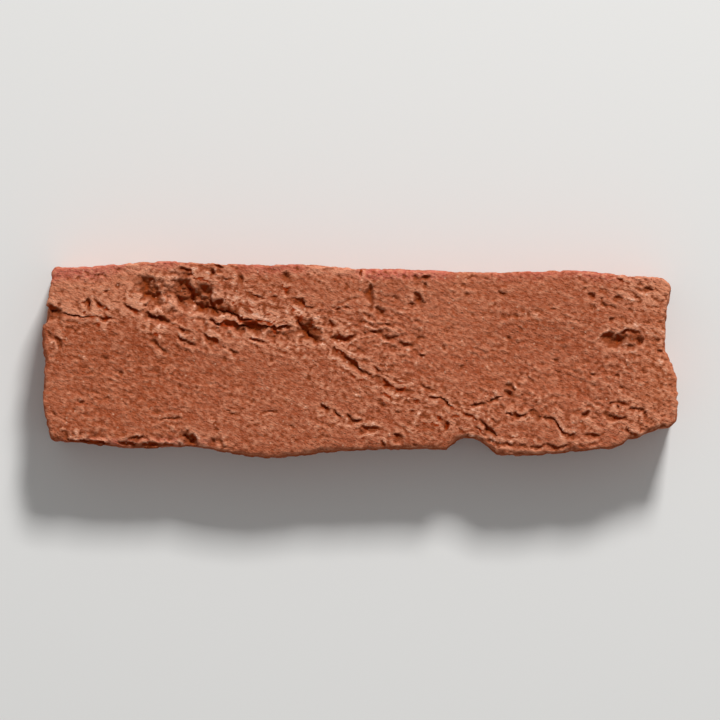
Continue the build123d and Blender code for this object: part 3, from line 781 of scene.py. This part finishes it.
@dataclass(frozen=True)
class BrickSlip:
    """The whole slip as one closed mesh: torn face, worn arris, rough sides and sawn back."""

    outline: Outline
    thickness: float
    step: float = 0.44
    rim_steps: tuple[float, ...] = (0.12, 0.2, 0.28, 0.36)
    eased_lines: int = 7
    wall_rows: int = 18
    wall_growth: float = 1.1
    sharp_angle: float = 70.0
    headroom: float = 0.04
    soft_top: float = 0.4
    rise: float = 0.15
    arris: float = 1.5
    arris_reach: float = 9.0
    nick_above_middle: float = 14.8
    nick_half_width: float = 3.0
    nick_depth: float = 2.8
    nick_foot: float = 8.5
    drag: float = 0.8
    chipped_above: float = 14.0
    # Painted shadow: the lamp's height as a slope, the depth of full shadow, how many rows to look towards
    # the lamp, and how far the lamp leans in columns to a row.
    lamp_shadow_slope: float = 0.7
    lamp_shadow_depth: float = 0.7
    lamp_shadow_rows: int = 7
    lamp_shadow_lean: float = 0.3
    tight_blurs: tuple[int, ...] = (2, 1)
    near_blurs: tuple[int, ...] = (6, 6)
    broad_blurs: tuple[int, ...] = (18, 18)
    seed: int = 23

    def shares(self, length: float) -> Values:
        """Where the net's lines run, closer together near both ends.

        Args:
            length: The net's length in millimetres.

        Returns:
            Shares of the length, from 0 to 1.
        """
        rim = np.array(self.rim_steps)
        inner = length - 2.0 * rim.sum()
        count = max(round(inner / self.step), 1)
        steps = np.concatenate(((0.0,), rim, np.full(count, inner / count), rim[::-1]))
        return np.cumsum(steps) / steps.sum()

    def arris_radius(self, spots: Points) -> Values:
        """Radius of the worn arris: ragged, broad along the lower bed and tight along the upper one.

        Args:
            spots: Places on the face, x and y.

        Returns:
            One radius to a place.
        """
        noise = ClayNoise(self.seed)
        flat = on_level(spots)
        x, y = spots.T
        stepped = eased(x, 0.2, 1.0) * eased(x, 34.0, 22.0)
        upper = eased(y, 18.0, 26.0) * (0.75 * stepped - 0.4)
        broad = self.arris * (1.0 + 0.5 * eased(y, -10.0, -24.0) + upper)
        wander = 0.4 * noise.lumps(flat, 11.0, 1.0) + 0.55 * noise.lumps(flat, 3.3, 2.0)
        return np.clip(broad * (1.0 + wander), 0.5, 3.4)

    def bite(self, spots: Points) -> Values:
        """How far the sides stand in from the nominal outline, with the nick in the left end.

        Args:
            spots: Places in space.

        Returns:
            One depth to a place.
        """
        noise = ClayNoise(self.seed + 1)
        x, y, z = spots.T
        drawn_down = spots * np.array((1.0, 1.0, self.drag))
        at_ends = eased(np.abs(x), 96.0, 100.0)
        rough = 0.3 * noise.lumps(drawn_down, 7.0, 1.0) + 0.42 * noise.lumps(drawn_down, 1.6, 3.0)
        rough += (0.6 + 0.4 * at_ends) * noise.lumps(drawn_down, 3.3, 2.0)
        chipped = 0.4 + 0.6 * eased(z, self.chipped_above, self.chipped_above + 5.0)
        folds = 0.22 * eased(np.abs(noise.streaks(spots, 12.0, 2.4, 0.0, 4.0)), 0.1, 0.0)
        across = (y - self.nick_above_middle) / self.nick_half_width
        nick = self.nick_depth * np.clip(1.0 - across**2, 0.0, 1.0) ** 0.7
        nick *= eased(x, -95.0, -98.0) * eased(z, self.nick_foot, self.nick_foot + 3.0)
        return np.clip(0.3 + rough * chipped + folds, 0.0, None) + nick

    def net(self) -> tuple[Points, dict[str, Values]]:
        """The net that fills the outline.

        Returns:
            Its places, indexed by column and row, and what the finish needs to know of each.
        """
        span = np.ptp(self.outline.loop, axis=0)
        plan = self.outline.patch(self.shares(span[0]), self.shares(span[1]))
        shape = plan.shape[:2]
        spots = plan.reshape(-1, 2)
        inside = self.outline.distance(spots, self.arris_reach)
        face = MouldedFace(spots, inside)
        relief, lean = face.relief()
        within = eased(inside, 0.2, 2.2)
        radius = self.arris_radius(spots)
        past = np.clip(1.0 - inside / radius, 0.0, 1.0)
        drop = radius * (1.0 - np.sqrt(1.0 - past**2))
        crown = 0.3 * eased(inside, self.arris_reach, 0.0) ** 2
        heights = self.thickness - self.headroom + relief * (0.45 + 0.55 * within) - drop - crown
        over = np.clip(heights - self.thickness - self.rise + self.soft_top, 0.0, None)
        heights -= over - self.soft_top * (1.0 - np.exp(-over / self.soft_top))
        places = np.column_stack((spots + lean * within[:, None], heights))
        measures = {"rim": 1.0 - inside / 4.0, "patch_shade": face.patch_shade(), **self.shade_measures(relief.reshape(shape))}
        return places.reshape(*shape, 3), measures

    def shade_measures(self, relief: Values) -> dict[str, Values]:
        """How deep each place of the clay lies, where the lamp's shadow falls on it and how far it stands
        up, for the painted shade and painted highlights.

        Args:
            relief: Relief of each place of the face, indexed by column and row.

        Returns:
            The measures by name, each to be held between 0 and 1.
        """
        # Painted shadow: a place counts as shaded where the relief a few rows towards the lamp stands above
        # the lamp's slope.
        painted_shadow = np.zeros_like(relief)
        for rows_up in range(1, self.lamp_shadow_rows + 1):
            columns_on = round(self.lamp_shadow_lean * rows_up)
            above = np.pad(relief, ((0, columns_on), (0, rows_up)), mode="edge")[columns_on:, rows_up:]
            painted_shadow = np.maximum(painted_shadow, above - relief - self.lamp_shadow_slope * rows_up * self.step)
        smoothed = box_blur(relief, *self.near_blurs)
        broad = box_blur(smoothed, *self.broad_blurs)
        tight = box_blur(relief, *self.tight_blurs)
        return {
            "painted_shadow": painted_shadow / self.lamp_shadow_depth,
            # Painted shade: depth below the smoothed face, for darkening the hollows.
            "hollow": (smoothed - relief) / 1.1,
            "basin_shade": (broad - smoothed - 0.1) / 0.5,
            "crest_highlight": (tight - smoothed) / 0.6 + (relief - tight) / 0.35,
            "crevice_shade": (tight - relief) / 0.3,
        }

    def walls(self, rim: Points) -> Points:
        """Rows of places down the rough sides.

        Args:
            rim: The net's rim, anticlockwise.

        Returns:
            The rows from the rim to the back, indexed by row and then along the rim.
        """
        along = np.roll(rim, -3, axis=0)[:, :2] - np.roll(rim, 3, axis=0)[:, :2]
        along /= np.linalg.norm(along, axis=1, keepdims=True)
        outward = np.column_stack((along[:, 1], -along[:, 0]))
        growth = self.wall_growth ** np.arange(self.wall_rows)
        drops = np.concatenate(((0.0,), np.cumsum(growth) / growth.sum()))
        rows = np.repeat(rim[None], len(drops), axis=0)
        rows[..., 2] *= 1.0 - drops[:, None]
        depth = self.bite(rows.reshape(-1, 3)).reshape(rows.shape[:2])
        rows[..., :2] -= outward * depth[..., None]
        return rows

    def draw_in(self, net: Points, rim_ids: Values, moves: Points) -> None:
        """Moves the net's rim, and eases the lines next to it along with it.

        Args:
            net: The net, changed in place.
            rim_ids: Numbers of the rim's places, anticlockwise.
            moves: Their moves in x and y.
        """
        column, row = np.divmod(rim_ids, net.shape[1])
        last_column, last_row = net.shape[0] - 1, net.shape[1] - 1
        net[column, row, :2] += moves
        on_side = (column % last_column == 0) != (row % last_row == 0)
        for ring in range(1, self.eased_lines):
            inner_column = np.clip(column, ring, last_column - ring)[on_side]
            inner_row = np.clip(row, ring, last_row - ring)[on_side]
            net[inner_column, inner_row, :2] += moves[on_side] * (1.0 - ring / self.eased_lines) ** 1.5

    def build(self) -> bpy.types.Object:
        """Makes the mesh with its measures for the colour, the painted shade and the painted highlights, and
        puts it in the scene, smooth but for the sawn rim.

        Returns:
            The slip's object.
        """
        net, measures = self.net()
        ids = np.arange(net[..., 0].size).reshape(net.shape[:2])
        rim_ids = np.concatenate((ids[:-1, 0], ids[-1, :-1], ids[:0:-1, -1], ids[0, :0:-1]))
        rim = net.reshape(-1, 3)[rim_ids]
        walls = self.walls(rim)
        self.draw_in(net, rim_ids, (walls[0] - rim)[:, :2])
        verts = np.concatenate((net.reshape(-1, 3), walls[1:].reshape(-1, 3)))
        rings = np.vstack((rim_ids, np.arange(ids.size, len(verts)).reshape(-1, len(rim))))
        faces = quads(ids) + quads(np.column_stack((rings, rings[:, 0]))) + [rings[-1, ::-1].tolist()]

        mesh = bpy.data.meshes.new("moulded_clay_slip")
        mesh.from_pydata((verts * MM).tolist(), [], faces)
        mesh.shade_smooth()
        mesh.set_sharp_from_angle(angle=math.radians(self.sharp_angle))
        for name, values in measures.items():
            whole = np.zeros(len(verts), np.float32)
            whole[:values.size] = np.clip(values, 0.0, 1.0).ravel()
            mesh.attributes.new(name, "FLOAT", "POINT").data.foreach_set("value", whole)
        return put_in_scene("moulded_clay_slip", mesh)


@dataclass(frozen=True)
class Signal:
    """An output of a node that takes part in Python arithmetic, adding Math nodes as it goes."""

    tree: "ShaderTree"
    node: bpy.types.Node
    key: int | str = 0

    @property
    def socket(self) -> bpy.types.NodeSocket:
        """The output itself."""
        return self.node.outputs[self.key]

    def output(self, key: int | str) -> "Signal":
        """Another output of the same node."""
        return Signal(self.tree, self.node, key)

    def __add__(self, other: "Signal | float") -> "Signal":
        """This value plus another."""
        return self.tree.math("ADD", self, other)

    __radd__ = __add__

    def __sub__(self, other: "Signal | float") -> "Signal":
        """This value less another."""
        return self.tree.math("SUBTRACT", self, other)

    def __rsub__(self, other: float) -> "Signal":
        """A number less this value."""
        return self.tree.math("SUBTRACT", other, self)

    def __mul__(self, other: "Signal | float") -> "Signal":
        """This value times another."""
        return self.tree.math("MULTIPLY", self, other)

    __rmul__ = __mul__

    def __truediv__(self, other: "Signal | float") -> "Signal":
        """This value divided by another."""
        return self.tree.math("DIVIDE", self, other)

    def __pow__(self, power: float) -> "Signal":
        """This value to a power."""
        return self.tree.math("POWER", self, power)


Sockets = dict[int | str, object]


class ShaderTree:
    """The node tree of one material, built by expressions."""

    def __init__(self, name: str) -> None:
        """Makes an empty material.

        Args:
            name: The material's name.
        """
        self.material = bpy.data.materials.new(name)
        self.material.use_nodes = True
        self.nodes = self.material.node_tree.nodes
        self.nodes.clear()

    def node(self, kind: str, sockets: Sockets | None = None, **settings: object) -> Signal:
        """Adds a node.

        Args:
            kind: The node's type.
            sockets: Values or signals for its inputs, by their names or places.
            settings: Its own settings, which are set first.

        Returns:
            Its first output.
        """
        made = self.nodes.new(kind)
        for key, value in settings.items():
            setattr(made, key, value)
        for key, value in (sockets or {}).items():
            if isinstance(value, Signal):
                self.material.node_tree.links.new(value.socket, made.inputs[key])
            else:
                made.inputs[key].default_value = value
        return Signal(self, made)

    def math(self, operation: str, *values: Signal | float) -> Signal:
        """Adds a Math node that works on the values in order."""
        return self.node("ShaderNodeMath", dict(enumerate(values)), operation=operation)

    def mix(self, share: Signal | float, first: Signal | Colour, second: Signal | Colour) -> Signal:
        """Mixes two colours, with so much of the second."""
        return self.node("ShaderNodeMix", {0: share, 6: first, 7: second}, data_type="RGBA").output(2)

    def measure(self, name: str) -> Signal:
        """A measure stored on the mesh."""
        return self.node("ShaderNodeAttribute", attribute_name=name).output("Fac")

    def axes(self, place: Signal) -> tuple[Signal, Signal, Signal]:
        """A place's x, y and z in millimetres."""
        parted = self.node("ShaderNodeSeparateXYZ", {0: place})
        return parted.output("X") / MM, parted.output("Y") / MM, parted.output("Z") / MM

    def noise(self, place: Signal, size: float, detail: float, roughness: float = 0.5) -> Signal:
        """Noise with lumps of a size in millimetres, from 0 to 1."""
        sockets = {"Vector": place, "Scale": 1.0 / (size * MM), "Detail": detail, "Roughness": roughness}
        return self.node("ShaderNodeTexNoise", sockets)

    def specks(self, place: Signal, spacing: float) -> tuple[Signal, Signal]:
        """Specks at a spacing in millimetres: how near one is, and its own random tone."""
        near = self.node("ShaderNodeTexVoronoi", {"Vector": place, "Scale": 1.0 / (spacing * MM)})
        return near, self.node("ShaderNodeSeparateColor", {0: near.output("Color")})

    def ramp(self, value: Signal, low: float, high: float) -> Signal:
        """Brings a value from low to high onto 0 to 1, with soft ends."""
        sockets = {"Value": value, "From Min": low, "From Max": high}
        return self.node("ShaderNodeMapRange", sockets, interpolation_type="SMOOTHSTEP")

    def surface(self, sockets: Sockets) -> bpy.types.Material:
        """Ends the tree with a Principled shader, and gives the material."""
        self.node("ShaderNodeOutputMaterial", {"Surface": self.node("ShaderNodeBsdfPrincipled", sockets)})
        return self.material


@dataclass(frozen=True)
class FiredClay:
    """Soft-mud clay fired to a warm red, sandy and matt, with painted shade in its tears, hollows and lower
    arris and painted highlights on its crests.
    """

    body: Colour = (0.372, 0.098, 0.046, 1.0)
    deep: Colour = (0.305, 0.058, 0.017, 1.0)
    salmon: Colour = (0.540, 0.184, 0.096, 1.0)
    pale: Colour = (0.680, 0.285, 0.165, 1.0)
    orange: Colour = (0.455, 0.130, 0.053, 1.0)
    rosy: Colour = (0.500, 0.120, 0.086, 1.0)
    # Brown painted as shade in the hollows, the small valleys, the broad basins and the patches over
    # recesses.
    brown: Colour = (0.238, 0.052, 0.016, 1.0)
    # Dark red-brown painted as shade in the deepest hollows and along the lower arris.
    torn: Colour = (0.262, 0.044, 0.007, 1.0)
    # Red-brown of the painted shadow, under lips that turn from the lamp.
    painted_shadow: Colour = (0.335, 0.034, 0.003, 1.0)
    # Near-white tint of the painted highlights on the highest crests.
    highlight_tint: Colour = (0.800, 0.430, 0.300, 1.0)
    sawn_clay: Colour = (0.470, 0.165, 0.092, 1.0)
    sand: Colour = (0.640, 0.350, 0.230, 1.0)
    soot: Colour = (0.150, 0.045, 0.022, 1.0)
    roughness: float = 0.88
    specular: float = 0.05
    bump_height: float = 0.8
    saw_middle: tuple[float, float] = (60.0, -310.0)
    score_spacing: float = 2.3
    flow_turn: float = -22.0
    flow_stretch: float = 1.7

    def dress(self, piece: bpy.types.Object) -> None:
        """Makes the material and gives it to the piece.

        Args:
            piece: The slip's object.
        """
        tree = ShaderTree("fired_clay_finish")
        place = tree.node("ShaderNodeTexCoord").output("Object")
        flow = {"Rotation": (0.0, 0.0, math.radians(self.flow_turn)), "Scale": (self.flow_stretch, 1.0, 1.0)}
        drawn_out = tree.node("ShaderNodeMapping", {"Vector": place, **flow}, vector_type="TEXTURE")
        x, y, z = tree.axes(place)
        sawn = tree.ramp(z, 0.3, 0.1)
        grain = tree.noise(drawn_out, 0.55, 3.0, 0.65)
        coarse = tree.noise(drawn_out, 1.3, 2.0, 0.6)
        near, tone = tree.specks(place, 0.8)
        speck = tree.ramp(near, 0.42, 0.1) * tree.ramp(tone, 0.55, 0.9)
        skin = grain * 0.55 + coarse * 0.6 + speck * 0.3
        from_saw = ((x - self.saw_middle[0]) ** 2 + (y - self.saw_middle[1]) ** 2) ** 0.5
        scored = tree.math("SINE", from_saw * (2.0 * math.pi / self.score_spacing) + coarse * 9.0)
        height = skin * (1.0 - 0.7 * sawn) + scored * sawn * (coarse * 0.1)
        bump = {"Strength": 1.0, "Distance": self.bump_height * MM, "Height": height}
        back_colour = tree.mix(coarse, self.sawn_clay, self.body)
        piece.data.materials.append(tree.surface({
            "Base Color": tree.mix(sawn * 0.7, self.colour(tree, place, drawn_out), back_colour),
            "Roughness": self.roughness + 0.1 * (grain - 0.5),
            "Specular IOR Level": self.specular,
            "Normal": tree.node("ShaderNodeBump", bump),
        }))

    def colour(self, tree: ShaderTree, place: Signal, drawn_out: Signal) -> Signal:
        """The clay's colour from its zones, blotches and grains of sand, with painted shade in its tears and
        hollows and painted highlights on its crests.

        Args:
            tree: The material's tree.
            place: Place on the slip, in metres.
            drawn_out: The place in axes that lie with the flow of the clay.

        Returns:
            The colour.
        """
        ramp = tree.ramp
        x, y, z = tree.axes(place)
        on_face = ramp(z, 16.5, 20.0)
        wander = (tree.noise(place, 16.0, 3.0) - 0.5) * 26.0
        blotch = tree.noise(place, 24.0, 4.0, 0.6)
        mottle = tree.noise(place, 5.0, 4.0, 0.6)
        speckle = tree.noise(drawn_out, 1.7, 3.0, 0.65)
        grain = tree.noise(drawn_out, 0.75, 3.0, 0.7)
        hollow, crest_highlight, rim = tree.measure("hollow"), tree.measure("crest_highlight"), tree.measure("rim")
        near, tone = tree.specks(place, 1.4)

        upper_left = ramp(y + wander * 0.3, 12.5, 16.5) * ramp(x + wander, -52.0, -74.0)
        lower_left = ramp(x + wander, -48.0, -76.0) * ramp(y + wander * 0.3, 15.0, 11.0)
        lower_rim = ramp(y, -16.0, -22.0)
        rosy_strip = ramp(y + wander * 0.05, -25.2, -26.6) * ramp(x, -44.0, -56.0)
        rosy_corner = ramp(y + wander * 0.1, 24.5, 28.5) * ramp(x + wander * 0.3, -78.0, -88.0)
        rosy_band = ramp(y + wander * 0.06, 25.8, 27.6) * ramp(x, -1.2, 0.2) * ramp(x, 32.0, 20.0)
        pale_band = ramp(y + wander * 0.08, 26.6, 29.4) * ramp(x, -20.0, -15.0) * ramp(x, -0.4, -2.0)
        streaky = ramp(y, 28.2, 29.6) * ramp(x, -80.0, -77.0) * ramp(x, -67.0, -70.0)
        upper_right = ramp(y + wander * 0.1, 13.0, 21.0) * ramp(x + wander * 0.3, 80.0, 89.0)
        lower_right = ramp(y + wander * 0.1, -12.0, -17.0) * ramp(x + wander * 0.3, 80.0, 90.0)
        layers = (
            (lower_left * 0.5, self.deep),
            (ramp(blotch, 0.5, 0.72) * 0.45, self.deep),
            (upper_left * 0.95, self.salmon),
            (upper_left * 0.16, self.pale),
            (ramp(blotch, 0.52, 0.3) * 0.4, self.salmon),
            (ramp(x + wander * 0.7, 84.0, 100.0) * 0.7, self.orange),
            (ramp(mottle, 0.35, 0.7) * 0.32, self.orange),
            (ramp(mottle, 0.5, 0.25) * 0.35, self.deep),
            (rim * lower_rim * ramp(mottle, 0.35, 0.6) * 0.9, self.salmon),
            (rim * ramp(y, 24.0, 27.0) * ramp(blotch, 0.3, 0.62) * 1.2, self.rosy),
            (rosy_strip * on_face * 0.6, self.rosy),
            (rosy_corner * on_face * 0.8, self.rosy),
            (rosy_band * on_face * 0.75, self.rosy),
            (pale_band * on_face * 0.7, self.pale),
            (streaky * on_face * ramp(mottle, 0.4, 0.6) * 0.9, self.pale),
            (rim * ramp(x, 93.0, 98.0) * ramp(mottle, 0.3, 0.6) * 1.1, self.salmon),
            (upper_right * on_face * 0.48, self.pale),
            (lower_right * ramp(mottle, 0.35, 0.6) * 0.8, self.salmon),
            (ramp(grain, 0.5, 0.64) * 0.62, self.salmon),
            (ramp(grain, 0.5, 0.36) * 0.68, self.deep),
            (ramp(speckle, 0.52, 0.7) * 0.4, self.pale),
            (ramp(speckle, 0.48, 0.3) * 0.6, self.deep),
            # Painted shade over the broad basins of the torn clay.
            (tree.measure("basin_shade") * ramp(speckle, 0.64, 0.44) * 0.9, self.brown),
            # Painted highlights on the raised crests and lips of the relief.
            (crest_highlight * 0.72, self.pale),
            (ramp(crest_highlight, 0.7, 1.0) * ramp(speckle, 0.5, 0.66), self.highlight_tint),
            # Painted shade: the patches over the gouge, the pits and the lower rim.
            (tree.measure("patch_shade") * (1.15 - 0.6 * speckle), self.brown),
            # Painted shade in the small valleys of the relief.
            (ramp(tree.measure("crevice_shade"), 0.15, 0.85) * 0.8, self.brown),
            # Painted shade: hollows darkened to brown, the deepest to the dark torn colour.
            (ramp(hollow, 0.05, 0.5) * 0.7, self.brown),
            (ramp(hollow, 0.6, 1.0) * 0.9, self.torn),
            # Painted shadow, where the relief towards the lamp blocks its light.
            (ramp(tree.measure("painted_shadow"), 0.2, 1.0) * 0.85, self.painted_shadow),
            # Painted shade along the lower arris, which turns from the lamp.
            (ramp(rim, 0.74, 0.94) * lower_rim * ramp(mottle, 0.3, 0.5) * 0.85, self.torn),
            (ramp(near, 0.34, 0.12) * ramp(tone, 0.9, 0.96) * 0.6, self.sand),
            (ramp(near, 0.3, 0.16) * ramp(tone, 0.1, 0.05) * 0.55, self.soot),
        )
        tinted = self.body
        for share, tint in layers:
            tinted = tree.mix(share, tinted, tint)
        return tinted


@dataclass(frozen=True)
class Studio:
    """A pale floor, a broad soft lamp on the upper bed's side, an even sky and a long lens above."""

    floor_half: float = 3.0
    floor_gap: float = 0.05
    floor_tone: Colour = (0.72, 0.715, 0.70, 1.0)
    sky: Colour = (1.0, 1.0, 1.0, 1.0)
    sky_strength: float = 0.34
    key_watts: float = 55.5
    key_distance: float = 2.2
    key_size: float = 0.42
    key_height: float = 35.0
    key_turn: float = 74.0
    lens: float = 270.0
    camera_height: float = 1.8

    def build(self) -> None:
        """Sets up the floor, the lamp, the sky and the camera."""
        self.lay_floor()
        self.hang_lamp()
        self.light_sky()
        self.mount_camera()
        bpy.context.scene.view_settings.view_transform = "Standard"

    def lay_floor(self) -> None:
        """A plain matt floor just under the slip."""
        half = self.floor_half
        mesh = bpy.data.meshes.new("studio_floor")
        corners = [(-half, -half, 0.0), (half, -half, 0.0), (half, half, 0.0), (-half, half, 0.0)]
        mesh.from_pydata(corners, [], [(0, 1, 2, 3)])
        look = {"Base Color": self.floor_tone, "Roughness": 0.9, "Specular IOR Level": 0.2}
        mesh.materials.append(ShaderTree("studio_floor_finish").surface(look))
        floor = put_in_scene("studio_floor", mesh)
        floor.location.z = -self.floor_gap * MM

    def hang_lamp(self) -> None:
        """One square lamp, aimed at the slip."""
        height, turn = math.radians(self.key_height), math.radians(self.key_turn)
        way = Vector((math.cos(turn), math.sin(turn), math.tan(height))).normalized()
        data = bpy.data.lights.new("key_lamp", "AREA")
        data.shape = "SQUARE"
        data.size = self.key_size
        data.energy = self.key_watts
        lamp = put_in_scene("key_lamp", data)
        lamp.location = way * self.key_distance
        lamp.rotation_euler = (-way).to_track_quat("-Z", "Y").to_euler()

    def light_sky(self) -> None:
        """An even pale sky that fills the shadows."""
        world = bpy.data.worlds.new("studio_sky")
        world.use_nodes = True
        shade = world.node_tree.nodes["Background"]
        shade.inputs["Color"].default_value = self.sky
        shade.inputs["Strength"].default_value = self.sky_strength
        bpy.context.scene.world = world

    def mount_camera(self) -> None:
        """A long lens straight above the slip, with the upper bed at the top of the picture."""
        data = bpy.data.cameras.new("overhead_camera")
        data.lens = self.lens
        camera = put_in_scene("overhead_camera", data)
        camera.location.z = self.camera_height
        bpy.context.scene.camera = camera


def main() -> None:
    """Builds the studio and the slip, and dresses the slip."""
    logging.basicConfig(level=logging.INFO, format="%(name)s: %(message)s")
    Studio().build()
    low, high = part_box(NODE)
    slip = BrickSlip(outline=Outline.of_node(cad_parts[NODE]), thickness=(high.z - low.z) / MM)
    piece = slip.build()
    FiredClay().dress(piece)
    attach(piece, "root")
    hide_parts(NODE)
    triangles = sum(len(face.vertices) - 2 for face in piece.data.polygons)
    LOG.info("%s: %d triangles", piece.name, triangles)


if __name__ == "__main__":
    main()
